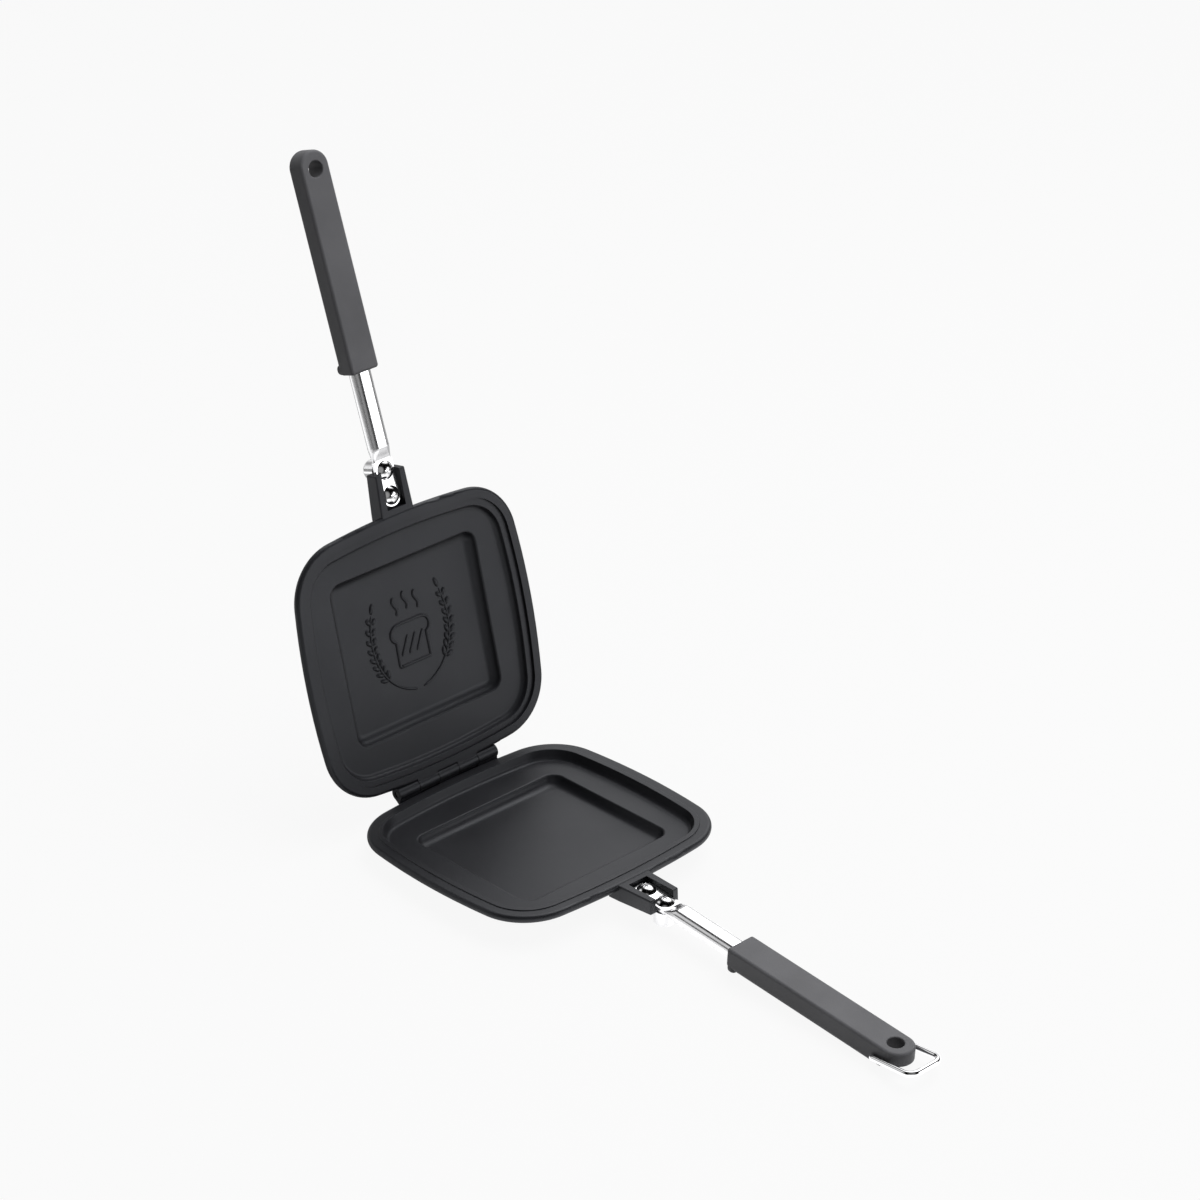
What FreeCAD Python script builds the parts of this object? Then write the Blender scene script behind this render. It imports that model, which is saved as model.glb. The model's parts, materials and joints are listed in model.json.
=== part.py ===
import FreeCAD, Part
import math
import os

# Pie iron: two hinged square pans, each with a bolted neck and a straight grip, and a wire bail
# on the lower grip. Millimetres. The pan frame has its origin in the middle of the lower pan's
# rim plane, with +Y towards the hinge, -Y towards the handles and +Z up. The handle frame has
# its origin under the neck at the first fork screw, and slopes down from the pan.

# Rim and lip of a pan
pan_width = 150.0
pan_length = 141.4
side_bulge = 2.1
pan_corner_radius = 30.4
rim_width = 9.0
lip_thickness = 4.0
lip_edge_radius = 1.9
wall_thickness = 3.0
parting_gap = 0.3

# Sealing bead of the lower rim and its seat in the upper rim
bead_width = 3.0
bead_height = 0.5
bead_clearance = 0.5
bead_edge_radius = 0.4
seat_depth = 1.5

# Cavity down to the ledge, and the deeper recess in its middle
cavity_depth = 4.8
cavity_draft = 1.6
cavity_reach = 1.0
cavity_floor_radius = 2.5
recess_width = 96.7
recess_length = 88.2
recess_shift = 1.06
recess_depth = 4.85
recess_draft = 1.8
recess_corner_radius = 7.0
recess_edge_radius = 1.1
recess_floor_radius = 5.0
outer_edge_radius = 2.0

# Hinge at the back of the pans
hinge_width = 66.4
hinge_offset = 2.05
hinge_rise = 2.9
knuckle_count = 5
knuckle_radius = 3.6
knuckle_gap = 0.3
scallop_clearance = 0.5
pin_radius = 1.6
pin_seat_clearance = 0.02
pin_running_clearance = 0.05
pin_end_recess = 0.4
pin_end_radius = 0.5
opening_angle = 101.9
stop_gap = 0.2
heel_thickness = 3.0
heel_length = 5.8
foot_overlap = 2.5
foot_tangent_angle = -30.0

# Fork that holds the neck, cast with the pan
fork_length = 21.8
fork_root_width = 21.0
fork_end_width = 19.0
fork_gap = 12.0
fork_top_drop = 0.5
fork_root_depth = 10.0
fork_end_depth = 8.6
fork_edge_radius = 0.8
fork_web = 2.0
fork_floor_end = 2.0
seat_drop = 5.2

# Neck, a tube flattened into a tongue at its pan end
handle_slope = 5.2
screw_from_lip = 8.6
bolt_from_screw = 13.25
tongue_thickness = 2.0
tongue_clearance = 0.2
neck_width = 12.0
neck_height = 8.0
neck_wall = 1.2
swell_clearance = 0.4
swell_length = 7.5
swell_sections = 6
tang_length = 60.0

# Domed screws, bolts and barrel nuts of the forks
dome_radius = 5.0
dome_height = 2.4
cross_length = 3.4
cross_width = 0.8
cross_depth = 1.0
screw_radius = 2.0
screw_depth = 3.4
screw_hole_radius = 2.05
bolt_radius = 2.5
bolt_in_nut = 6.0
passage_clearance = 0.2
nut_radius = 5.5
nut_length = 8.5
nut_edge_radius = 1.8
nut_bore_clearance = 0.05

# Grips
grip_from_screw = 65.6
grip_length = 114.7
grip_width = 17.4
grip_thickness = 12.0
grip_mouth_radius = 1.5
grip_inner_radius = 1.6
grip_outer_radius = 3.0
collar_length = 5.5
collar_height = 1.5
collar_corner_radius = 2.4
collar_edge_radius = 2.0
socket_clearance = 0.1
hang_hole_radius = 4.25
hang_hole_from_tip = 9.8
hang_hole_edge_radius = 0.6
hang_recess_radius = 5.0
nose_length = 12.2
nose_thickness = 7.2

# Screw that holds a grip on its neck
grip_screw_from_mouth = 14.5
grip_screw_radius = 1.75
grip_screw_head_radius = 3.3
grip_screw_head_height = 1.0
grip_screw_edge_radius = 0.3
grip_screw_cross_depth = 0.7
grip_screw_sink = 0.1
grip_screw_head_clearance = 0.2
grip_screw_reach = 3.0

# Wire bail on the lower grip
wire_radius = 1.5
wire_clearance = 0.07
bail_side_clearance = 0.3
bail_leg_length = 26.2
bail_corner_radius = 5.0
bail_elbow_radius = 1.7
bail_stub_depth = 4.5
bail_stub_end_clearance = 0.3
bail_from_tip = 15.4
bail_pivot_drop = 0.9
bail_rest_angle = 9.0

# Overrun of cuts, and the tolerances of edge picking and of the resting attitude
overrun = 5.0
pick_tolerance = 0.001
facet_tolerance = 0.05
steepest_rest_tilt = 15.0
rest_steps = 40

# Places worked out from the sizes above
half_width = pan_width / 2
half_length = pan_length / 2
hinge_y = half_length + hinge_offset
knuckle_width = (hinge_width - (knuckle_count - 1) * knuckle_gap) / knuckle_count
ledge_underside = cavity_depth + wall_thickness
base_depth = cavity_depth + recess_depth + wall_thickness
fork_end_y = -(half_length + fork_length)
neck_middle = tongue_thickness / 2
tongue_width = fork_gap - 2 * tongue_clearance
swell_start = bolt_from_screw + dome_radius + swell_clearance
grip_end = grip_from_screw + grip_length
inner_face = neck_middle + grip_thickness / 2
outer_face = neck_middle - grip_thickness / 2
bail_pivot_y = -(grip_end - bail_from_tip)
bail_pivot_z = neck_middle - bail_pivot_drop
bail_half_width = grip_width / 2 + bail_side_clearance + wire_radius
x_axis = FreeCAD.Vector(1, 0, 0)
y_axis = FreeCAD.Vector(0, 1, 0)
z_axis = FreeCAD.Vector(0, 0, 1)


def vec(x, y, z):
    """Short form of a vector."""
    return FreeCAD.Vector(x, y, z)


def fuse_all(shapes):
    """One solid from several that meet."""
    return shapes[0].multiFuse(shapes[1:]).removeSplitter()


def prism_x(points, x_from, x_to):
    """Prism across X over a closed (y, z) outline."""
    corners = [vec(x_from, y, z) for y, z in points]
    face = Part.Face(Part.makePolygon(corners + corners[:1]))
    return face.extrude(vec(x_to - x_from, 0, 0))


def prism_z(points, z_from, z_to):
    """Prism along Z over a closed (x, y) outline."""
    corners = [vec(x, y, z_from) for x, y in points]
    face = Part.Face(Part.makePolygon(corners + corners[:1]))
    return face.extrude(vec(0, 0, z_to - z_from))


def cylinder_x(radius, x_from, x_to, y, z):
    """Cylinder along X."""
    return Part.makeCylinder(radius, x_to - x_from, vec(x_from, y, z), x_axis)


def cylinder_z(radius, z_from, z_to, y):
    """Cylinder along Z on the middle plane."""
    return Part.makeCylinder(radius, z_to - z_from, vec(0, y, z_from), z_axis)


def level_edges(shape, height):
    """Edges that lie wholly at one height."""
    picked = []
    for edge in shape.Edges:
        box = edge.BoundBox
        if abs(box.ZMin - height) < pick_tolerance and abs(box.ZMax - height) < pick_tolerance:
            picked.append(edge)
    return picked


def edges_inside(edges, half_x, half_y, centre_y):
    """Those edges that stay inside a rectangle in plan."""
    picked = []
    for edge in edges:
        box = edge.BoundBox
        across = max(abs(box.XMin), abs(box.XMax))
        along = max(abs(box.YMin - centre_y), abs(box.YMax - centre_y))
        if across < half_x and along < half_y:
            picked.append(edge)
    return picked


def arc_through(first, middle, last):
    """Edge of a circular arc through three points."""
    return Part.Arc(first, middle, last).toShape()


def polar(centre, radius, angle, height):
    """Point at an angle from a centre in plan."""
    return vec(centre[0] + radius * math.cos(angle), centre[1] + radius * math.sin(angle), height)


def bowed_outline(inset, height, reach=0):
    """Rim outline drawn in from its edge: a rounded square whose sides bow out a little.

    A reach carries the hinge side out beyond the even inset.
    """
    radius = pan_corner_radius - inset
    core_x = half_width - pan_corner_radius - side_bulge
    core_y = half_length + reach / 2 - pan_corner_radius - side_bulge
    middle = reach / 2
    bow_x = (core_y ** 2 + side_bulge ** 2) / (2 * side_bulge)
    bow_y = (core_x ** 2 + side_bulge ** 2) / (2 * side_bulge)
    turn_x = math.asin(core_y / bow_x)
    turn_y = math.asin(core_x / bow_y)
    edges = []
    for quarter in range(4):
        base = quarter * math.pi / 2
        across = quarter % 2 == 0
        bow, turn, core = (bow_x, turn_x, core_x) if across else (bow_y, turn_y, core_y)
        next_turn = turn_y if across else turn_x
        away = core + side_bulge - bow
        centre = (away * math.cos(base), middle + away * math.sin(base))
        side = [polar(centre, bow + radius, base + share * turn, height) for share in (-1, 0, 1)]
        edges.append(arc_through(*side))
        sign_x = 1 if quarter in (0, 3) else -1
        sign_y = 1 if quarter in (0, 1) else -1
        corner = (sign_x * core_x, middle + sign_y * core_y)
        start = base + turn
        end = base + math.pi / 2 - next_turn
        bend = [polar(corner, radius, angle, height) for angle in (start, (start + end) / 2, end)]
        edges.append(arc_through(*bend))
    return Part.Wire(Part.__sortEdges__(edges))


def rounded_rectangle(half_x, half_y, radius, centre_y, height):
    """Straight-sided rectangle with rounded corners, in plan."""
    corners = [(1, -1), (1, 1), (-1, 1), (-1, -1)]
    edges = []
    last = None
    first = None
    for index, (sign_x, sign_y) in enumerate(corners):
        centre = (sign_x * (half_x - radius), centre_y + sign_y * (half_y - radius))
        start = (index - 1) * math.pi / 2
        bend = [polar(centre, radius, start + share * math.pi / 2, height) for share in (0, 0.5, 1)]
        if last is not None:
            edges.append(Part.LineSegment(last, bend[0]).toShape())
        edges.append(arc_through(*bend))
        last = bend[-1]
        first = bend[0] if first is None else first
    edges.append(Part.LineSegment(last, first).toShape())
    return Part.Wire(Part.__sortEdges__(edges))


def stadium(width, height, y, middle):
    """Flat-sided outline with round ends, upright across the handle."""
    flat = (width - height) / 2
    round_radius = height / 2
    top = middle + round_radius
    bottom = middle - round_radius
    upper_right = vec(flat, y, top)
    lower_right = vec(flat, y, bottom)
    lower_left = vec(-flat, y, bottom)
    upper_left = vec(-flat, y, top)
    right = arc_through(upper_right, vec(flat + round_radius, y, middle), lower_right)
    left = arc_through(lower_left, vec(-flat - round_radius, y, middle), upper_left)
    bottom_line = Part.LineSegment(lower_right, lower_left).toShape()
    top_line = Part.LineSegment(upper_left, upper_right).toShape()
    return Part.Wire([right, bottom_line, left, top_line])


def slab(outline, height):
    """Solid of an outline carried up by a height."""
    return Part.Face(outline).extrude(vec(0, 0, height))


def drafted(upper_outline, lower_outline):
    """Solid with straight sloping sides between two outlines."""
    return Part.makeLoft([upper_outline, lower_outline], True, True)


def recess_outline(grow, depth, height):
    """Recess outline at a depth below the ledge, grown outwards."""
    draft = recess_draft * depth / recess_depth
    half_x = recess_width / 2 + grow - draft
    half_y = recess_length / 2 + grow - draft
    radius = recess_corner_radius + grow - draft
    return rounded_rectangle(half_x, half_y, radius, -recess_shift, height)


def pan_outside():
    """Lip, wall and base of a pan, still solid inside."""
    lip = slab(bowed_outline(0, -lip_thickness), lip_thickness)
    lip_edges = level_edges(lip, 0) + level_edges(lip, -lip_thickness)
    lip = lip.makeFillet(lip_edge_radius, lip_edges)
    wall_inset = rim_width - wall_thickness
    draft_at_underside = cavity_draft * ledge_underside / cavity_depth
    wall_top = bowed_outline(wall_inset, -lip_thickness / 2, cavity_reach)
    wall_bottom = bowed_outline(wall_inset + draft_at_underside, -ledge_underside, cavity_reach)
    wall = drafted(wall_top, wall_bottom)
    wall = wall.makeFillet(outer_edge_radius, level_edges(wall, -ledge_underside))
    drum_top_depth = wall_thickness / 2
    drum_depth = base_depth - cavity_depth
    drum_top = recess_outline(wall_thickness, drum_top_depth, -cavity_depth - drum_top_depth)
    drum_bottom = recess_outline(wall_thickness, drum_depth, -base_depth)
    drum = drafted(drum_top, drum_bottom)
    drum = drum.makeFillet(outer_edge_radius, level_edges(drum, -base_depth))
    return [lip, wall, drum]


def cavity_tool():
    """Space above the ledge, with its rounded foot."""
    slope = cavity_draft / cavity_depth
    top = bowed_outline(rim_width - overrun * slope, overrun, cavity_reach)
    bottom = bowed_outline(rim_width + cavity_draft, -cavity_depth, cavity_reach)
    tool = drafted(top, bottom)
    return tool.makeFillet(cavity_floor_radius, level_edges(tool, -cavity_depth))


def recess_tool():
    """Space of the middle recess, with its rounded foot."""
    above = cavity_depth / 2
    top = recess_outline(0, -above, above - cavity_depth)
    bottom = recess_outline(0, recess_depth, -cavity_depth - recess_depth)
    tool = drafted(top, bottom)
    return tool.makeFillet(recess_floor_radius, level_edges(tool, -cavity_depth - recess_depth))


def bead_ring():
    """Raised bead along the inner side of the rim, before the cavity is cut."""
    inset = rim_width - bead_width
    ring = slab(bowed_outline(inset, -lip_thickness / 2), lip_thickness / 2 + bead_height)
    return ring.makeFillet(bead_edge_radius, level_edges(ring, bead_height))


def bead_seat():
    """Step in the upper rim that takes the bead with room to spare."""
    inset = rim_width - bead_width - bead_clearance
    return slab(bowed_outline(inset, -seat_depth), seat_depth + overrun)


def place_on_handle(shape):
    """Move a shape from the handle frame to the pan frame."""
    origin = vec(0, -(half_length + screw_from_lip), -seat_drop)
    handle = FreeCAD.Placement(origin, FreeCAD.Rotation(x_axis, handle_slope))
    placed = shape.copy()
    placed.Placement = handle.multiply(shape.Placement)
    return placed


def fork():
    """Two ears and a floor that reach out from under the lip."""
    root_y = -(half_length - rim_width + wall_thickness / 2)
    side_outline = [
        (root_y, -fork_top_drop),
        (fork_end_y, -fork_top_drop),
        (fork_end_y, -fork_end_depth),
        (root_y, -fork_root_depth),
    ]
    side = prism_x(side_outline, -fork_root_width, fork_root_width)
    plan_outline = [
        (-fork_root_width / 2, root_y),
        (-fork_root_width / 2, -half_length),
        (-fork_end_width / 2, fork_end_y),
        (fork_end_width / 2, fork_end_y),
        (fork_root_width / 2, -half_length),
        (fork_root_width / 2, root_y),
    ]
    plan = prism_z(plan_outline, -fork_root_depth - overrun, overrun)
    blank = side.common(plan)
    free_edges = [edge for edge in blank.Edges if edge.BoundBox.YMax < root_y - pick_tolerance]
    long_edges = [edge for edge in blank.Edges if edge.BoundBox.YMin < -half_length - pick_tolerance]
    chosen = {edge.hashCode(): edge for edge in free_edges + long_edges}
    blank = blank.makeFillet(fork_edge_radius, list(chosen.values()))
    return blank.cut(fork_slot())


def fork_slot():
    """Gap between the ears, down to the sloping floor that carries the tongue."""
    slot_from = screw_from_lip - fork_web
    slot_to = -(fork_length - screw_from_lip) - overrun
    corner = vec(-fork_gap / 2, slot_to, 0)
    box = Part.makeBox(fork_gap, slot_from - slot_to, fork_root_depth + overrun, corner)
    return place_on_handle(box)


def fork_holes():
    """Screw hole, open notch for the bolt and the nut's flat seat, in the fork's floor."""
    hole = cylinder_z(screw_hole_radius, -screw_depth, overrun, 0)
    notch_radius = bolt_radius + passage_clearance
    notch = cylinder_z(notch_radius, -fork_root_depth - overrun, overrun, -bolt_from_screw)
    seat_radius = nut_radius + passage_clearance
    seat_from = -fork_root_depth - overrun
    seat = cylinder_z(seat_radius, seat_from, -fork_floor_end, -bolt_from_screw)
    return [place_on_handle(tool) for tool in (hole, notch, seat)]


def knuckle_span(index):
    """X range of one hinge knuckle."""
    start = -hinge_width / 2 + index * (knuckle_width + knuckle_gap)
    return start, start + knuckle_width


def lower_knuckles():
    """Odd knuckles, each on a foot that rises from the lip's edge."""
    foot_inside = -hinge_offset - foot_overlap
    foot_left = -(knuckle_radius - 2 * scallop_clearance)
    lip_top = -hinge_rise
    lip_middle = lip_top - lip_thickness / 2
    lip_bottom = lip_top - lip_thickness + lip_edge_radius / 2
    tangent = math.radians(foot_tangent_angle)
    outline = [
        (foot_inside, lip_top - lip_edge_radius / 2),
        (foot_left, lip_top - lip_edge_radius / 2),
        (foot_left, 0),
        (knuckle_radius * math.cos(tangent), knuckle_radius * math.sin(tangent)),
        (-hinge_offset, lip_bottom),
        (foot_inside, lip_middle),
    ]
    placed = [(hinge_y + y, hinge_rise + z) for y, z in outline]
    shapes = []
    for index in range(0, knuckle_count, 2):
        x_from, x_to = knuckle_span(index)
        shapes.append(cylinder_x(knuckle_radius, x_from, x_to, hinge_y, hinge_rise))
        shapes.append(prism_x(placed, x_from, x_to))
    return shapes


def upper_knuckles():
    """Even knuckles on webs that carry the lip on, in the upper pan's own frame."""
    axis_z = parting_gap - hinge_rise
    web_outline = [
        (half_length - foot_overlap, 0),
        (hinge_y, 0),
        (hinge_y, -lip_thickness),
        (half_length - foot_overlap, -lip_thickness),
    ]
    shapes = []
    for index in range(1, knuckle_count, 2):
        x_from, x_to = knuckle_span(index)
        shapes.append(cylinder_x(knuckle_radius, x_from, x_to, hinge_y, axis_z))
        shapes.append(prism_x(web_outline, x_from, x_to))
    return shapes


def scallops(first, axis_z):
    """Room in a lip for the other pan's knuckles to turn in."""
    radius = knuckle_radius + scallop_clearance
    shapes = []
    for index in range(first, knuckle_count, 2):
        x_from, x_to = knuckle_span(index)
        shapes.append(cylinder_x(radius, x_from - knuckle_gap, x_to + knuckle_gap, hinge_y, axis_z))
    return shapes


def heels():
    """Stop heels that meet the lower lip's edge when the iron stands fully open."""
    near = hinge_y - hinge_offset + stop_gap
    outline = [
        (near, hinge_rise),
        (near + heel_thickness, hinge_rise),
        (near + heel_thickness, hinge_rise - heel_length),
        (near, hinge_rise - heel_length),
    ]
    shapes = []
    for index in range(1, knuckle_count, 2):
        x_from, x_to = knuckle_span(index)
        shapes.append(prism_x(outline, x_from, x_to))
    return shapes


def hinge_bore(axis_z, clearance):
    """Bore for the hinge pin through every knuckle."""
    end = hinge_width / 2 + overrun
    return cylinder_x(pin_radius + clearance, -end, end, hinge_y, axis_z)


def hollow_out(body, rim_top):
    """Cut the cavity and the recess, and round their upper edges."""
    body = body.cut(cavity_tool())
    body = body.cut(recess_tool())
    ledge_edges = level_edges(body, -cavity_depth)
    recess_edges = edges_inside(ledge_edges, recess_width / 2 + pick_tolerance,
                                recess_length / 2 + pick_tolerance, -recess_shift)
    body = body.makeFillet(recess_edge_radius, recess_edges)
    mouth_draft = rim_top * cavity_draft / cavity_depth
    mouth_half_x = half_width - rim_width + mouth_draft + pick_tolerance
    mouth_half_y = half_length + cavity_reach - rim_width + mouth_draft + pick_tolerance
    mouth_edges = edges_inside(level_edges(body, rim_top), mouth_half_x, mouth_half_y, 0)
    return body.makeFillet(bead_edge_radius, mouth_edges)


def lower_pan():
    """Lower pan: lip with bead, stepped bowl, fork and the outer and middle knuckles."""
    body = fuse_all(pan_outside() + [fork(), bead_ring()])
    body = body.cut(Part.makeCompound(scallops(1, hinge_rise)))
    body = fuse_all([body] + lower_knuckles())
    body = hollow_out(body, bead_height)
    return body.cut(Part.makeCompound(fork_holes() + [hinge_bore(hinge_rise, pin_seat_clearance)]))


def upper_pan():
    """Upper pan in its own frame, rim up, like the lower one."""
    axis_z = parting_gap - hinge_rise
    body = fuse_all(pan_outside() + [fork()])
    body = body.cut(bead_seat())
    body = body.cut(Part.makeCompound(scallops(0, axis_z)))
    body = fuse_all([body] + upper_knuckles())
    body = hollow_out(body, -seat_depth)
    return body.cut(Part.makeCompound(fork_holes() + [hinge_bore(axis_z, pin_running_clearance)]))


def hinge_pin():
    """Steel pin through the knuckles, with its rounded ends just inside the outer ones."""
    end = hinge_width / 2 - pin_end_recess
    pin = cylinder_x(pin_radius, -end, end, hinge_y, hinge_rise)
    return pin.makeFillet(pin_end_radius, pin.Edges)


def neck():
    """Tube flattened into a drilled tongue, in the handle frame."""
    tongue_end = swell_start + swell_length / 2
    outline = Part.Wire([
        arc_through(vec(tongue_width / 2, 0, 0), vec(0, tongue_width / 2, 0),
                    vec(-tongue_width / 2, 0, 0)),
        Part.LineSegment(vec(-tongue_width / 2, 0, 0), vec(-tongue_width / 2, -swell_start, 0)).toShape(),
        Part.LineSegment(vec(-tongue_width / 2, -swell_start, 0),
                         vec(tongue_width / 2, -swell_start, 0)).toShape(),
        Part.LineSegment(vec(tongue_width / 2, -swell_start, 0), vec(tongue_width / 2, 0, 0)).toShape(),
    ])
    tongue = slab(outline, tongue_thickness)
    sections = []
    for step in range(swell_sections):
        share = step / (swell_sections - 1)
        ease = share * share * (3 - 2 * share)
        width = tongue_width + (neck_width - tongue_width) * ease
        height = tongue_thickness + (neck_height - tongue_thickness) * ease
        sections.append(stadium(width, height, -swell_start - swell_length * share, neck_middle))
    swell = Part.makeLoft(sections, True, False)
    tube_from = -(swell_start + swell_length)
    tube_to = -(grip_from_screw + tang_length)
    tube = Part.Face(stadium(neck_width, neck_height, tube_from, neck_middle))
    tube = tube.extrude(vec(0, tube_to - tube_from, 0))
    body = fuse_all([tongue, swell, tube])
    bore_width = neck_width - 2 * neck_wall
    bore_height = neck_height - 2 * neck_wall
    bore = Part.Face(stadium(bore_width, bore_height, tube_from, neck_middle))
    bore = bore.extrude(vec(0, tube_to - tube_from - overrun, 0))
    cuts = [
        bore,
        cylinder_z(screw_radius + passage_clearance, -overrun, overrun, 0),
        cylinder_z(bolt_radius + passage_clearance, -overrun, overrun, -bolt_from_screw),
        grip_screw_hole(),
    ]
    return body.cut(Part.makeCompound(cuts))


def grip_screw_hole():
    """Threaded hole for the grip's screw in the lower wall of the tube."""
    y = -(grip_from_screw + grip_screw_from_mouth)
    return cylinder_z(grip_screw_radius + pin_running_clearance, outer_face, neck_middle, y)


def dome_head(seat_z, y):
    """Low domed head with a cross recess."""
    sphere_radius = (dome_radius ** 2 + dome_height ** 2) / (2 * dome_height)
    centre_z = seat_z + dome_height - sphere_radius
    ball = Part.makeSphere(sphere_radius, vec(0, y, centre_z))
    head = ball.common(cylinder_z(dome_radius, seat_z, seat_z + dome_height, y))
    top = seat_z + dome_height
    arm = Part.makeBox(cross_length, cross_width, cross_depth + overrun,
                       vec(-cross_length / 2, y - cross_width / 2, top - cross_depth))
    other = Part.makeBox(cross_width, cross_length, cross_depth + overrun,
                         vec(-cross_width / 2, y - cross_length / 2, top - cross_depth))
    return head.cut(arm.fuse(other))


def fork_screw():
    """Short screw through the tongue into the fork's floor."""
    shank = cylinder_z(screw_radius, pin_seat_clearance - screw_depth, tongue_thickness, 0)
    return dome_head(tongue_thickness, 0).fuse(shank).removeSplitter()


def fork_bolt():
    """Longer bolt through the tongue and the notch into the barrel nut."""
    shank = cylinder_z(bolt_radius, -fork_floor_end - bolt_in_nut, tongue_thickness, -bolt_from_screw)
    return dome_head(tongue_thickness, -bolt_from_screw).fuse(shank).removeSplitter()


def barrel_nut():
    """Plain round nut under the fork's floor, closed at its outer end."""
    top = -fork_floor_end
    bottom = top - nut_length
    body = cylinder_z(nut_radius, bottom, top, -bolt_from_screw)
    body = body.makeFillet(nut_edge_radius, level_edges(body, bottom))
    bore_radius = bolt_radius + nut_bore_clearance
    bore_bottom = top - bolt_in_nut - nut_bore_clearance
    return body.cut(cylinder_z(bore_radius, bore_bottom, top + overrun, -bolt_from_screw))


def grip_blank():
    """Straight bar with a half-round tip, rounded softly outside and finely inside."""
    half = grip_width / 2
    mouth = -grip_from_screw
    tip_centre = -(grip_end - half)
    outline = Part.Wire([
        Part.LineSegment(vec(half, tip_centre, outer_face), vec(half, mouth, outer_face)).toShape(),
        Part.LineSegment(vec(half, mouth, outer_face), vec(-half, mouth, outer_face)).toShape(),
        Part.LineSegment(vec(-half, mouth, outer_face), vec(-half, tip_centre, outer_face)).toShape(),
        arc_through(vec(-half, tip_centre, outer_face), vec(0, -grip_end, outer_face),
                    vec(half, tip_centre, outer_face)),
    ])
    bar = slab(outline, grip_thickness)
    upright = [edge for edge in bar.Edges
               if edge.BoundBox.ZLength > grip_thickness / 2 and edge.BoundBox.YMax > mouth - pick_tolerance]
    bar = bar.makeFillet(grip_mouth_radius, upright)
    bar = bar.makeFillet(grip_outer_radius, level_edges(bar, outer_face))
    return bar.makeFillet(grip_inner_radius, level_edges(bar, inner_face))


def collar():
    """Finger guard that stands out on the outer side of the grip's mouth."""
    half_y = collar_length / 2
    centre_y = -grip_from_screw - half_y
    bottom = outer_face - collar_height
    outline = rounded_rectangle(grip_width / 2, half_y, collar_corner_radius, centre_y, bottom)
    block = slab(outline, neck_middle - bottom)
    return block.makeFillet(collar_edge_radius, level_edges(block, bottom))


def grip(has_bail):
    """Grip in the handle frame; the lower one has a thinner nose and holes for the bail."""
    body = fuse_all([grip_blank(), collar()])
    if has_bail:
        step = -(grip_end - nose_length)
        nose_bottom = inner_face - nose_thickness
        rebate = prism_x(
            [(step, nose_bottom), (step, outer_face - overrun),
             (-grip_end - overrun, outer_face - overrun), (-grip_end - overrun, nose_bottom)],
            -grip_width, grip_width)
        recess = cylinder_z(hang_recess_radius, outer_face - overrun, nose_bottom,
                            -(grip_end - hang_hole_from_tip))
        body = body.cut(rebate.fuse(recess))
    mouth = -grip_from_screw
    socket_end = -(grip_from_screw + tang_length + socket_clearance)
    socket_width = neck_width + 2 * socket_clearance
    socket_height = neck_height + 2 * socket_clearance
    socket = Part.Face(stadium(socket_width, socket_height, mouth + overrun, neck_middle))
    socket = socket.extrude(vec(0, socket_end - mouth - overrun, 0))
    screw_y = mouth - grip_screw_from_mouth
    head_depth = grip_screw_head_height + grip_screw_sink
    cuts = [
        socket,
        cylinder_z(hang_hole_radius, outer_face - overrun, inner_face + overrun,
                   -(grip_end - hang_hole_from_tip)),
        cylinder_z(grip_screw_radius + passage_clearance, outer_face, neck_middle, screw_y),
        cylinder_z(grip_screw_head_radius + grip_screw_head_clearance, outer_face - overrun,
                   outer_face + head_depth, screw_y),
    ]
    if has_bail:
        for side in (-1, 1):
            inner = grip_width / 2 - bail_stub_depth - bail_stub_end_clearance
            outer = grip_width / 2 + overrun
            x_from, x_to = sorted((side * inner, side * outer))
            hole_radius = wire_radius + wire_clearance
            cuts.append(cylinder_x(hole_radius, x_from, x_to, bail_pivot_y, bail_pivot_z))
    body = body.cut(Part.makeCompound(cuts))
    hole_edges = edges_inside(level_edges(body, inner_face), hang_hole_radius + pick_tolerance,
                              hang_hole_radius + pick_tolerance, hang_hole_from_tip - grip_end)
    return body.makeFillet(hang_hole_edge_radius, hole_edges)


def grip_screw():
    """Cross-recessed screw that goes up through the grip into the tube."""
    y = -(grip_from_screw + grip_screw_from_mouth)
    head_bottom = outer_face + grip_screw_sink
    head_top = head_bottom + grip_screw_head_height
    head = cylinder_z(grip_screw_head_radius, head_bottom, head_top, y)
    head = head.makeFillet(grip_screw_edge_radius, level_edges(head, head_bottom))
    tip_z = neck_middle - neck_height / 2 + grip_screw_reach
    shank = cylinder_z(grip_screw_radius, head_top, tip_z, y)
    arm = Part.makeBox(cross_length, cross_width, grip_screw_cross_depth,
                       vec(-cross_length / 2, y - cross_width / 2, head_bottom))
    other = Part.makeBox(cross_width, cross_length, grip_screw_cross_depth,
                         vec(-cross_width / 2, y - cross_length / 2, head_bottom))
    return head.fuse(shank).removeSplitter().cut(arm.fuse(other))


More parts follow.
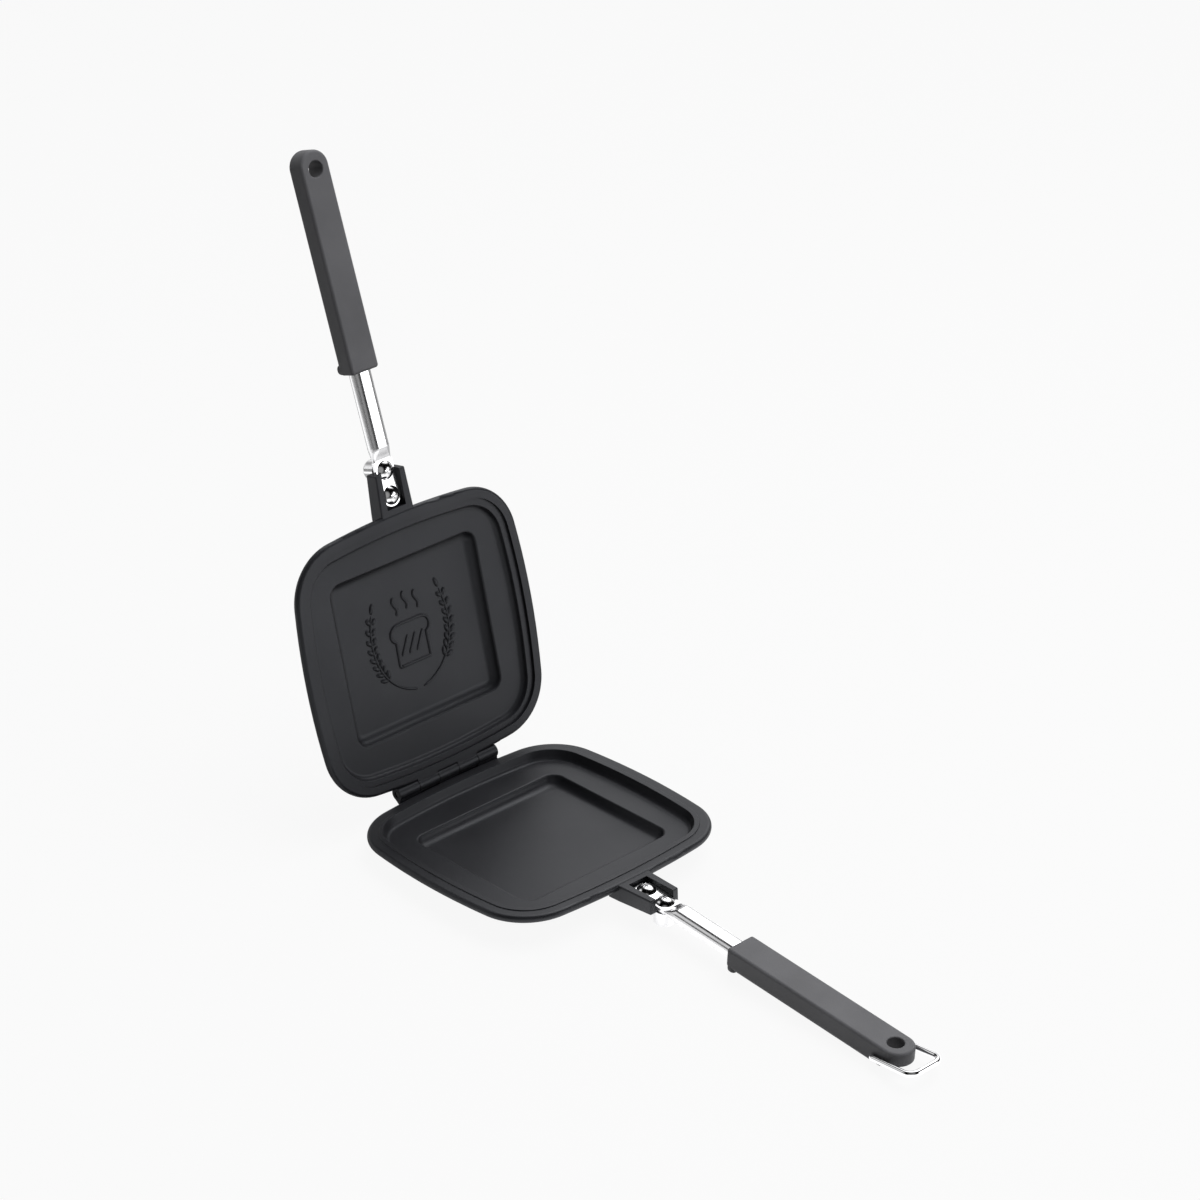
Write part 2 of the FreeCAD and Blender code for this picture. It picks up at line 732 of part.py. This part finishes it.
def bail():
    """Wire loop with inturned ends, in a frame at its pivot with the loop along -Y."""
    stub_x = grip_width / 2 - bail_stub_depth
    leg_x = bail_half_width
    bar_y = -bail_leg_length
    elbow = bail_elbow_radius
    corner = bail_corner_radius
    slant = math.sqrt(0.5)
    edges = []
    for side in (1, -1):
        stub = Part.LineSegment(vec(side * stub_x, 0, 0), vec(side * (leg_x - elbow), 0, 0))
        elbow_middle = vec(side * (leg_x - elbow + elbow * slant), -elbow + elbow * slant, 0)
        bend = arc_through(vec(side * (leg_x - elbow), 0, 0), elbow_middle, vec(side * leg_x, -elbow, 0))
        leg = Part.LineSegment(vec(side * leg_x, -elbow, 0), vec(side * leg_x, bar_y + corner, 0))
        corner_middle = vec(side * (leg_x - corner + corner * slant), bar_y + corner - corner * slant, 0)
        turn = arc_through(vec(side * leg_x, bar_y + corner, 0), corner_middle,
                           vec(side * (leg_x - corner), bar_y, 0))
        edges += [stub.toShape(), bend, leg.toShape(), turn]
    bar = Part.LineSegment(vec(leg_x - corner, bar_y, 0), vec(corner - leg_x, bar_y, 0)).toShape()
    path = Part.Wire(Part.__sortEdges__(edges + [bar]))
    start = path.OrderedVertexes[0].Point
    section = Part.Wire(Part.makeCircle(wire_radius, start, x_axis))
    wire = path.makePipeShell([section], True, False)
    wire.rotate(vec(0, 0, 0), x_axis, -bail_rest_angle)
    wire.translate(vec(0, bail_pivot_y, bail_pivot_z))
    return wire


def closed_upper(shape):
    """Mirror a piece of one half to the upper half, with the iron closed."""
    return shape.mirror(vec(0, 0, parting_gap / 2), z_axis)


def opened(shape):
    """Turn a piece of the upper half from closed to fully open."""
    turned = shape.copy()
    turned.rotate(vec(0, hinge_y, hinge_rise), x_axis, -opening_angle)
    return turned


def half_pieces(side, pan):
    """The pieces of one half, all in the pan frame of the lower half."""
    handle = {
        "neck": neck(),
        "fork_screw": fork_screw(),
        "fork_bolt": fork_bolt(),
        "barrel_nut": barrel_nut(),
        "grip": grip(side == "lower"),
        "grip_screw": grip_screw(),
    }
    pieces = {side + "_pan": pan}
    for name, shape in handle.items():
        pieces[side + "_" + name] = place_on_handle(shape)
    return pieces


def assemble():
    """Every piece with the iron fully open, in the pan frame."""
    pieces = half_pieces("lower", lower_pan())
    for name, shape in half_pieces("upper", upper_pan()).items():
        pieces[name] = opened(closed_upper(shape))
    pieces["upper_pan"] = fuse_all([pieces["upper_pan"]] + heels())
    pieces["upper_pan"] = pieces["upper_pan"].cut(hinge_bore(hinge_rise, pin_running_clearance))
    pieces["hinge_pin"] = hinge_pin()
    pieces["latch_bail"] = place_on_handle(bail())
    return pieces


def surface_points(shape):
    """(y, z) of points spread over a piece's surface."""
    return [(point.y, point.z) for point in shape.tessellate(facet_tolerance)[0]]


def lowest(points, tilt):
    """Lowest height of the points once the handle side is lifted by a tilt."""
    return min(z * math.cos(tilt) - y * math.sin(tilt) for y, z in points)


def resting_tilt(pieces):
    """Tilt at which the lower pan's base and the lower grip touch the table together."""
    pan_points = surface_points(pieces["lower_pan"])
    grip_points = surface_points(pieces["lower_grip"])
    low = 0.0
    high = math.radians(steepest_rest_tilt)
    for _ in range(rest_steps):
        middle = (low + high) / 2
        if lowest(pan_points, middle) > lowest(grip_points, middle):
            low = middle
        else:
            high = middle
    return middle


def resting_placement(pieces):
    """Placement of the pan frame on the table, with the origin under the middle of the whole."""
    tilt = resting_tilt(pieces)
    turn = FreeCAD.Rotation(x_axis, -math.degrees(tilt))
    points = []
    for shape in pieces.values():
        points += surface_points(shape)
    along = [y * math.cos(tilt) + z * math.sin(tilt) for y, z in points]
    shift = vec(0, -(min(along) + max(along)) / 2, -lowest(points, tilt))
    return FreeCAD.Placement(shift, turn)


def main():
    """Build every piece, set the iron down on the table and write one file for each."""
    os.makedirs("parts", exist_ok=True)
    pieces = assemble()
    rest = resting_placement(pieces)
    for name, shape in pieces.items():
        shape.Placement = rest.multiply(shape.Placement)
        shape.exportStep("parts/" + name + ".step")
    return pieces, rest


pieces, rest = main()
for name, shape in pieces.items():
    print(name, len(shape.Solids), shape.isValid(), round(shape.Volume, 1))
print("rest", rest)
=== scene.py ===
import json
import math
import bmesh
import bpy
from mathutils import Matrix, Vector


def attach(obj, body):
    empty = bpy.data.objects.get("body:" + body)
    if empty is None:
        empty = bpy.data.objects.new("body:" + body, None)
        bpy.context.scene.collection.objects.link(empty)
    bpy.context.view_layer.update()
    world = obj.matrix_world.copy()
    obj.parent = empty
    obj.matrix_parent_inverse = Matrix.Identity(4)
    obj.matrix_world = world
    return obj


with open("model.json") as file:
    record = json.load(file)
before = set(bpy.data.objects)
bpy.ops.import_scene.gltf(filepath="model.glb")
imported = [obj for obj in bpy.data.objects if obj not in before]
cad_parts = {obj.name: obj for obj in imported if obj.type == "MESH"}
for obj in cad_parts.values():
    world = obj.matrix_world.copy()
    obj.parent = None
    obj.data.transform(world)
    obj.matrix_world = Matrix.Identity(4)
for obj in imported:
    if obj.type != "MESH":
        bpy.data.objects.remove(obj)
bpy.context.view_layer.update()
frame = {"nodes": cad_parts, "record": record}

RECORD = frame["record"]
NODES = frame["nodes"]
MM = 0.001

# Places on the iron, in millimetres in the pan's own frame
HINGE = Vector((0, 72.75, 2.9))
PARTING_GAP = 0.3
FLOOR_DEPTH = 9.65
RECESS_SHIFT = 1.06

# Camera of the photo, fitted in the lower pan's frame: azimuth, elevation and roll in degrees,
# its place in millimetres, and its focal length in pixels of the photo
CAMERA_TURN = (-41.80, 27.17, -1.76)
CAMERA_PLACE = Vector((-1157.73, -1346.44, 1039.54))
FOCAL_PIXELS = 4046.14
PHOTO_PIXELS = 1200
SENSOR_MM = 36.0

# Raised lines of the relief, each a width and a height in millimetres
STALK = (1.3, 0.65)
GRAIN = (2.4, 1.0)
SLICE = (1.7, 0.85)
STROKE = (1.4, 0.7)
STEAM = (1.6, 0.8)

# Ears of wheat: points along a stalk, which of them carry pairs of grains, the lean of the grains
# in degrees, the length of the lowest, how much each pair is shorter, and the grain at the tip
STALK_POINTS = 40
GRAIN_POINTS = range(15, 39, 3)
GRAIN_LEAN = 34
GRAIN_LENGTH = 5.6
GRAIN_SHRINK = 0.16
TIP_GRAIN_LENGTH = 6.2

# White of the floor to the camera, the level of the painted glow it shows only in reflections, and
# its grey under the lamp
FLOOR_WHITE = 0.92
FLOOR_FAR_GLOSS = 1.3
FLOOR_GREY = 0.35
FLOOR_HALF = 9.0
FLOOR_DROP = 0.0002

# Painted glow of the floor that shows only in reflections, a painted pool of light for the gloss,
# in metres: a patch round the lower grip, a strip to the front right, and a ring on the left of
# the upper neck; each zone is where it starts and where it ends
PATCH_PLACE = (0, -0.14, 0)
PATCH_FADE = (0.10, 0.30)
STRIP_WAY = (0.6, -0.8, 0)
STRIP_RISE = (0.25, 0.9)
STRIP_SIDE = (0.8, 0.6, 0)
STRIP_FROM = (-0.45, -0.10)
STRIP_TO = (0.30, 0.55)
RING_PLACE = (0, 0.13, 0)
RING_FROM = (0.30, 0.38)
RING_TO = (0.52, 0.62)
RING_LEFT = (0.02, 0.14)

# White backdrop of the room in gloss: how far back and how low it lies, as cosines
BACKDROP_WHITE = 0.95
BACKDROP_BEHIND = (-0.1, 0.3)
BACKDROP_BELOW = (0.15, 0.38)
ROOM_DARK = 0.03

# Soft panels of the room, each a direction, the cosines where it fades and where it is full,
# and its strength
ROOM_PANELS = [
    ((0.58, 0.30, 0.76), (0.82, 0.985), 2.9),
    ((0.57, -0.80, 0.16), (0.93, 0.985), 2.6),
    ((-0.59, -0.66, 0.46), (0.80, 0.95), 0.3),
    ((-0.43, 0.66, 0.60), (0.93, 0.985), 0.8),
]

# Lamp overhead: place, what it looks at, size in metres and power in watts
LAMP_PLACE = (0.45, -0.25, 1.40)
LAMP_AIM = (0, 0.02, 0.05)
LAMP_SIZE = 1.2
LAMP_POWER = 26.0


def joint(name):
    """One joint of the record."""
    return next(j for j in RECORD["behaviour"]["joints"] if j["name"] == name)


def mount(name):
    """One mount of the record."""
    return next(m for m in RECORD["mounts"] if m["name"] == name)


def pan_matrix():
    """From the lower pan's frame in millimetres to the scene."""
    axis = Vector(mount("lower_base")["axis"])
    tilt = math.atan2(-axis.y, -axis.z)
    place = Matrix.Translation(Vector(joint("lid_hinge")["pos_m"]))
    turn = Matrix.Rotation(-tilt, 4, "X")
    return place @ turn @ Matrix.Scale(MM, 4) @ Matrix.Translation(-HINGE)


def upper_matrix():
    """From the upper pan's own frame, rim up, to the scene with the iron open."""
    opening = math.radians(max(joint("lid_hinge")["range_deg"], key=abs))
    mirror = Matrix.Translation((0, 0, PARTING_GAP)) @ Matrix.Scale(-1, 4, (0, 0, 1))
    turn = Matrix.Rotation(-opening, 4, "X")
    swing = Matrix.Translation(HINGE) @ turn @ Matrix.Translation(-HINGE)
    return pan_matrix() @ swing @ mirror


def make_camera():
    """Camera of the photograph."""
    azimuth, elevation, roll = (math.radians(a) for a in CAMERA_TURN)
    look = Vector((-math.sin(azimuth) * math.cos(elevation),
                   math.cos(azimuth) * math.cos(elevation),
                   -math.sin(elevation)))
    level = look.cross(Vector((0, 0, 1))).normalized()
    upward = level.cross(look)
    right = math.cos(roll) * level + math.sin(roll) * upward
    up = math.cos(roll) * upward - math.sin(roll) * level
    stand = Matrix.Identity(4)
    for row in range(3):
        stand[row][0] = right[row]
        stand[row][1] = up[row]
        stand[row][2] = -look[row]
    pan = pan_matrix()
    turn = pan.to_3x3().normalized().to_4x4()
    place = Matrix.Translation(pan @ CAMERA_PLACE)
    data = bpy.data.cameras.new("photo_camera")
    data.sensor_width = SENSOR_MM
    data.lens = FOCAL_PIXELS / PHOTO_PIXELS * SENSOR_MM
    data.clip_start = 0.05
    data.clip_end = 50.0
    cam = bpy.data.objects.new("photo_camera", data)
    bpy.context.scene.collection.objects.link(cam)
    cam.matrix_world = place @ turn @ stand
    bpy.context.scene.camera = cam


def new_material(name):
    """Material with an empty Principled shader, its tree and the shader node."""
    mat = bpy.data.materials.new(name)
    mat.use_nodes = True
    tree = mat.node_tree
    shader = tree.nodes["Principled BSDF"]
    return mat, tree, shader


def noise(tree, scale, detail, stretch=None, roughness=0.5):
    """Noise over the object's own coordinates, in metres."""
    coords = tree.nodes.new("ShaderNodeTexCoord")
    source = coords.outputs["Object"]
    if stretch:
        mapping = tree.nodes.new("ShaderNodeMapping")
        mapping.inputs["Scale"].default_value = stretch
        tree.links.new(source, mapping.inputs["Vector"])
        source = mapping.outputs["Vector"]
    texture = tree.nodes.new("ShaderNodeTexNoise")
    texture.inputs["Scale"].default_value = scale
    texture.inputs["Detail"].default_value = detail
    texture.inputs["Roughness"].default_value = roughness
    tree.links.new(source, texture.inputs["Vector"])
    return texture.outputs["Fac"]


def vary(tree, factor, low, high):
    """Ramp from one value or colour to another."""
    ramp = tree.nodes.new("ShaderNodeValToRGB")
    for stop, at, end in zip(ramp.color_ramp.elements, (0.3, 0.7), (low, high)):
        stop.position = at
        stop.color = (*end, 1.0) if isinstance(end, tuple) else (end, end, end, 1.0)
    tree.links.new(factor, ramp.inputs["Fac"])
    return ramp.outputs["Color"]


def bumps(tree, shader, layers):
    """Chain of bump nodes, coarse first; a layer is (factor, distance in metres, strength)."""
    normal = None
    for factor, distance, strength in layers:
        bump = tree.nodes.new("ShaderNodeBump")
        bump.inputs["Distance"].default_value = distance
        bump.inputs["Strength"].default_value = strength
        tree.links.new(factor, bump.inputs["Height"])
        if normal:
            tree.links.new(normal, bump.inputs["Normal"])
        normal = bump.outputs["Normal"]
    tree.links.new(normal, shader.inputs["Normal"])


def coating():
    """Satin black non-stick coating over a casting."""
    mat, tree, shader = new_material("satin_black_coating")
    broad = noise(tree, 28, 4)
    cast = noise(tree, 240, 2)
    fine = noise(tree, 1500, 3)
    tree.links.new(vary(tree, broad, (0.0062, 0.0064, 0.0076), (0.0088, 0.0091, 0.0106)),
                   shader.inputs["Base Color"])
    tree.links.new(vary(tree, broad, 0.42, 0.50), shader.inputs["Roughness"])
    shader.inputs["Specular IOR Level"].default_value = 0.5
    shader.inputs["Specular Tint"].default_value = (0.91, 0.93, 1.0, 1)
    bumps(tree, shader, [(cast, 0.0002, 0.05), (fine, 0.00005, 0.45)])
    return mat


def plastic():
    """Matt heat-proof moulding with a fine spark-eroded grain."""
    mat, tree, shader = new_material("matt_moulded_plastic")
    broad = noise(tree, 40, 4)
    moulded = noise(tree, 120, 2)
    grain = noise(tree, 2600, 3, roughness=0.65)
    tree.links.new(vary(tree, broad, (0.078, 0.078, 0.083), (0.094, 0.094, 0.100)),
                   shader.inputs["Base Color"])
    tree.links.new(vary(tree, grain, 0.46, 0.60), shader.inputs["Roughness"])
    shader.inputs["Specular IOR Level"].default_value = 0.22
    bumps(tree, shader, [(moulded, 0.0003, 0.05), (grain, 0.00006, 0.40)])
    return mat


def chrome(name, tint, low, high, stretch):
    """Bright plating with drawn lines and faint handling marks."""
    mat, tree, shader = new_material(name)
    drawn = noise(tree, 900, 3, stretch)
    smudge = noise(tree, 55, 4)
    tree.links.new(vary(tree, smudge, tuple(t * 0.95 for t in tint), tint),
                   shader.inputs["Base Color"])
    shader.inputs["Metallic"].default_value = 1.0
    tree.links.new(vary(tree, smudge, low, high), shader.inputs["Roughness"])
    bumps(tree, shader, [(drawn, 0.00002, 0.10)])
    return mat


def set_finish(node, mat):
    """Give a CAD node one material all over."""
    slots = NODES[node].material_slots
    if not slots:
        NODES[node].data.materials.append(mat)
        return
    for entry in slots:
        entry.material = mat


def dress_nodes():
    """Finish for every node of the frame; returns the pans' coating."""
    black = coating()
    moulding = plastic()
    tube = chrome("bright_plated_tube", (0.85, 0.85, 0.86), 0.16, 0.24, (1, 0.04, 0.04))
    wire = chrome("bright_plated_wire", (0.88, 0.88, 0.89), 0.08, 0.15, (1, 1, 1))
    screw = chrome("bright_plated_fastener", (0.89, 0.89, 0.90), 0.10, 0.18, (1, 1, 1))
    steel = chrome("blackened_steel", (0.11, 0.11, 0.115), 0.34, 0.46, (0.05, 1, 1))
    for node in NODES:
        if node.endswith("_pan"):
            set_finish(node, black)
        elif node.endswith("_grip"):
            set_finish(node, moulding)
        elif node.endswith("_neck"):
            set_finish(node, tube)
        elif node == "latch_bail":
            set_finish(node, wire)
        elif node == "hinge_pin":
            set_finish(node, steel)
        else:
            set_finish(node, screw)
    return black


def ridge(maker, path, line, place, ends=0.12):
    """Raised rounded line along a path on the recess floor, thinner towards its ends."""
    width, height = line
    rings = []
    count = len(path)
    arcs = 10
    for i, spot in enumerate(path):
        before = path[max(i - 1, 0)]
        after = path[min(i + 1, count - 1)]
        along = (Vector(after) - Vector(before)).normalized()
        side = Vector((-along.y, along.x))
        share = i / (count - 1)
        edge = min(share, 1 - share) / ends if ends else 1.0
        swell = math.sqrt(max(0.0, 1 - (1 - min(edge, 1.0)) ** 2)) * 0.97 + 0.03
        ring = []
        for k in range(arcs + 1):
            turn = math.pi * k / arcs
            across = Vector(spot) + side * (math.cos(turn) * width / 2 * swell)
            rise = height * (0.35 + 0.65 * swell) * swell * math.sin(turn) ** 0.8 - 0.08
            ring.append(maker.verts.new(place(across.x, across.y, rise)))
        rings.append(ring)
    for one, two in zip(rings, rings[1:]):
        for k in range(arcs):
            maker.faces.new((one[k], one[k + 1], two[k + 1], two[k]))
    maker.faces.new(rings[0])
    maker.faces.new(list(reversed(rings[-1])))


def bezier(points, count):
    """Even points along one cubic curve."""
    a, b, c, d = (Vector(p) for p in points)
    made = []
    for i in range(count):
        t = i / (count - 1)
        u = 1 - t
        made.append(a * u ** 3 + 3 * b * u * u * t + 3 * c * u * t * t + d * t ** 3)
    return made


def wheat_grain(maker, place, root, way, length):
    """Short plump ridge from its root along a direction."""
    ridge(maker, [root + way * (length * k / 11) for k in range(12)], GRAIN, place, 0.5)


def wheat_ear(maker, place, side):
    """Bowed stalk with pairs of grains along its upper half."""
    stalk = bezier([(side * 1.6, -27.5), (side * 19, -24), (side * 31, -6), (side * 22.5, 20)],
                   STALK_POINTS)
    ridge(maker, stalk, STALK, place, 0.05)
    for step, i in enumerate(GRAIN_POINTS):
        along = (stalk[i + 1] - stalk[i - 1]).normalized()
        for lean in (1, -1):
            turn = math.radians(GRAIN_LEAN * lean)
            way = Vector((along.x * math.cos(turn) - along.y * math.sin(turn),
                          along.x * math.sin(turn) + along.y * math.cos(turn)))
            wheat_grain(maker, place, stalk[i] + way * 0.8, way,
                        GRAIN_LENGTH - GRAIN_SHRINK * step)
    tip = (stalk[-1] - stalk[-2]).normalized()
    wheat_grain(maker, place, stalk[-1], tip, TIP_GRAIN_LENGTH)


def slice_outline():
    """Closed outline of a loaf slice with two rounded shoulders."""
    made = []
    made += bezier([(-9.5, -13), (-9.9, -13), (-10.2, -12.7), (-10.2, -12)], 5)[:-1]
    made += bezier([(-10.2, -12), (-10.2, -7), (-10.0, -3), (-10.0, 0.5)], 14)[:-1]
    made += bezier([(-10.0, 0.5), (-14.5, 2.5), (-13.5, 9.5), (-6.5, 9.5)], 22)[:-1]
    made += bezier([(-6.5, 9.5), (-3, 9.5), (3, 9.5), (6.5, 9.5)], 14)[:-1]
    made += bezier([(6.5, 9.5), (13.5, 9.5), (14.5, 2.5), (10.0, 0.5)], 22)[:-1]
    made += bezier([(10.0, 0.5), (10.0, -3), (10.2, -7), (10.2, -12)], 14)[:-1]
    made += bezier([(10.2, -12), (10.2, -12.7), (9.9, -13), (9.5, -13)], 5)[:-1]
    made += bezier([(9.5, -13), (3, -13), (-3, -13), (-9.5, -13)], 20)
    return made


def make_relief(mat):
    """Generic bread and wheat relief cast into the floor of the upper recess."""
    matrix = upper_matrix()

    def place(across, upward, rise):
        return matrix @ Vector((across, -RECESS_SHIFT - upward, rise - FLOOR_DEPTH))

    maker = bmesh.new()
    for side in (-1, 1):
        wheat_ear(maker, place, side)
    ridge(maker, slice_outline(), SLICE, place, 0)
    for shift in (-5.0, 0.0, 5.0):
        mark = [Vector((shift - 3 + 0.5 * k, -8.0 + 0.9 * k)) for k in range(13)]
        ridge(maker, mark, STROKE, place)
    for shift in (-7.0, 0.0, 7.0):
        start = 15.6 if shift == 0 else 14.0
        wave = [Vector((shift + 1.1 * math.sin(k / 23 * 2 * math.pi), start + 10.5 * k / 23))
                for k in range(24)]
        ridge(maker, wave, STEAM, place)
    bmesh.ops.recalc_face_normals(maker, faces=maker.faces)
    mesh = bpy.data.meshes.new("upper_relief")
    maker.to_mesh(mesh)
    maker.free()
    for face in mesh.polygons:
        face.use_smooth = True
    mesh.materials.append(mat)
    relief = bpy.data.objects.new("upper_relief", mesh)
    bpy.context.scene.collection.objects.link(relief)
    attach(relief, "upper_half")


def ray_mix(tree, names):
    """Highest of some Light Path outputs."""
    path = tree.nodes.new("ShaderNodeLightPath")
    last = path.outputs[names[0]]
    for name in names[1:]:
        peak = tree.nodes.new("ShaderNodeMath")
        peak.operation = "MAXIMUM"
        tree.links.new(last, peak.inputs[0])
        tree.links.new(path.outputs[name], peak.inputs[1])
        last = peak.outputs[0]
    return last


def ramp_between(tree, value, zone, start, end):
    """Smooth step from one level to another while a value crosses a zone."""
    step = tree.nodes.new("ShaderNodeMapRange")
    step.interpolation_type = "SMOOTHSTEP"
    step.inputs["From Min"].default_value = zone[0]
    step.inputs["From Max"].default_value = zone[1]
    step.inputs["To Min"].default_value = start
    step.inputs["To Max"].default_value = end
    tree.links.new(value, step.inputs["Value"])
    return step.outputs["Result"]


def along_way(tree, output, way):
    """How far a texture coordinate lies along a direction."""
    coords = tree.nodes.new("ShaderNodeTexCoord")
    along = tree.nodes.new("ShaderNodeVectorMath")
    along.operation = "DOT_PRODUCT"
    along.inputs[1].default_value = Vector(way).normalized()
    tree.links.new(coords.outputs[output], along.inputs[0])
    return along.outputs["Value"]


def distance_from(tree, place):
    """How far the surface lies from a place, in metres."""
    coords = tree.nodes.new("ShaderNodeTexCoord")
    apart = tree.nodes.new("ShaderNodeVectorMath")
    apart.operation = "DISTANCE"
    apart.inputs[1].default_value = place
    tree.links.new(coords.outputs["Object"], apart.inputs[0])
    return apart.outputs["Value"]


def product(tree, one, two):
    """One number times another; the second may be an output or a constant."""
    times = tree.nodes.new("ShaderNodeMath")
    times.operation = "MULTIPLY"
    tree.links.new(one, times.inputs[0])
    if isinstance(two, float):
        times.inputs[1].default_value = two
    else:
        tree.links.new(two, times.inputs[1])
    return times.outputs[0]


def total(tree, one, two):
    """Sum of two outputs."""
    plus = tree.nodes.new("ShaderNodeMath")
    tree.links.new(one, plus.inputs[0])
    tree.links.new(two, plus.inputs[1])
    return plus.outputs[0]


def painted_floor_glow(tree):
    """How strong the painted glow is at each place of the floor, seen only in reflections."""
    patch = ramp_between(tree, distance_from(tree, PATCH_PLACE), PATCH_FADE, FLOOR_WHITE, 0.0)
    outward = ramp_between(tree, along_way(tree, "Object", STRIP_WAY), STRIP_RISE,
                           0.0, FLOOR_FAR_GLOSS)
    across = along_way(tree, "Object", STRIP_SIDE)
    strip = product(tree, outward, product(tree, ramp_between(tree, across, STRIP_FROM, 0.0, 1.0),
                                           ramp_between(tree, across, STRIP_TO, 1.0, 0.0)))
    from_neck = distance_from(tree, RING_PLACE)
    ring = product(tree, ramp_between(tree, from_neck, RING_FROM, 0.0, FLOOR_WHITE),
                   ramp_between(tree, from_neck, RING_TO, 1.0, 0.0))
    left = ramp_between(tree, along_way(tree, "Object", (-1, 0, 0)), RING_LEFT, 0.0, 1.0)
    return total(tree, total(tree, patch, strip), product(tree, ring, left))


def make_floor():
    """Pale floor, white to the camera, with a soft shadow and a painted glow in parts that shows
    only in reflections.
    """
    mesh = bpy.data.meshes.new("studio_floor")
    maker = bmesh.new()
    bmesh.ops.create_grid(maker, x_segments=8, y_segments=8, size=FLOOR_HALF)
    maker.to_mesh(mesh)
    maker.free()
    floor = bpy.data.objects.new("studio_floor", mesh)
    bpy.context.scene.collection.objects.link(floor)
    floor.location.z = -FLOOR_DROP
    mat, tree, shader = new_material("studio_floor")
    shader.inputs["Base Color"].default_value = (FLOOR_GREY, FLOOR_GREY, FLOOR_GREY, 1)
    shader.inputs["Roughness"].default_value = 0.9
    shader.inputs["Specular IOR Level"].default_value = 0.0
    white = tree.nodes.new("ShaderNodeEmission")
    share = product(tree, ray_mix(tree, ["Is Camera Ray", "Is Transmission Ray"]), FLOOR_WHITE)
    mix = tree.nodes.new("ShaderNodeMixShader")
    tree.links.new(share, mix.inputs["Fac"])
    tree.links.new(shader.outputs[0], mix.inputs[1])
    tree.links.new(white.outputs[0], mix.inputs[2])
    # painted glow on the floor, seen only by glossy rays, that paints reflections on the iron
    sheen = tree.nodes.new("ShaderNodeEmission")
    tree.links.new(product(tree, ray_mix(tree, ["Is Glossy Ray"]), painted_floor_glow(tree)),
                   sheen.inputs["Strength"])
    add = tree.nodes.new("ShaderNodeAddShader")
    tree.links.new(mix.outputs[0], add.inputs[0])
    tree.links.new(sheen.outputs[0], add.inputs[1])
    tree.links.new(add.outputs[0], tree.nodes["Material Output"].inputs["Surface"])
    mesh.materials.append(mat)


def make_world():
    """White room to the camera; in gloss a white backdrop low behind, and soft panels."""
    world = bpy.data.worlds.new("studio")
    bpy.context.scene.world = world
    world.use_nodes = True
    tree = world.node_tree
    background = tree.nodes["Background"]
    background.inputs["Color"].default_value = (1, 1, 1, 1)
    behind = ramp_between(tree, along_way(tree, "Generated", (0, 1, 0)), BACKDROP_BEHIND,
                          ROOM_DARK, BACKDROP_WHITE)
    below = ramp_between(tree, along_way(tree, "Generated", (0, 0, 1)), BACKDROP_BELOW, 1.0, 0.0)
    glow = product(tree, behind, below)
    for way, zone, level in ROOM_PANELS:
        panel = ramp_between(tree, along_way(tree, "Generated", way), zone, 0.0, level)
        glow = total(tree, glow, panel)
    direct = ray_mix(tree, ["Is Camera Ray", "Is Transmission Ray"])
    strength = tree.nodes.new("ShaderNodeMix")
    strength.data_type = "FLOAT"
    strength.inputs[3].default_value = 1.0
    tree.links.new(direct, strength.inputs[0])
    tree.links.new(glow, strength.inputs[2])
    tree.links.new(strength.outputs[0], background.inputs["Strength"])


def make_lamp():
    """Soft overhead fill that brings the diffuse light to a plain level, kept out of the gloss."""
    data = bpy.data.lights.new("overhead_fill", "AREA")
    data.shape = "SQUARE"
    data.size = LAMP_SIZE
    data.energy = LAMP_POWER
    lamp = bpy.data.objects.new("overhead_fill", data)
    bpy.context.scene.collection.objects.link(lamp)
    away = Vector(LAMP_PLACE) - Vector(LAMP_AIM)
    turn = away.to_track_quat("Z", "Y").to_matrix().to_4x4()
    lamp.matrix_world = Matrix.Translation(LAMP_PLACE) @ turn
    lamp.visible_glossy = False


bpy.context.scene.view_settings.view_transform = "Standard"
make_camera()
black = dress_nodes()
make_relief(black)
make_floor()
make_world()
make_lamp()
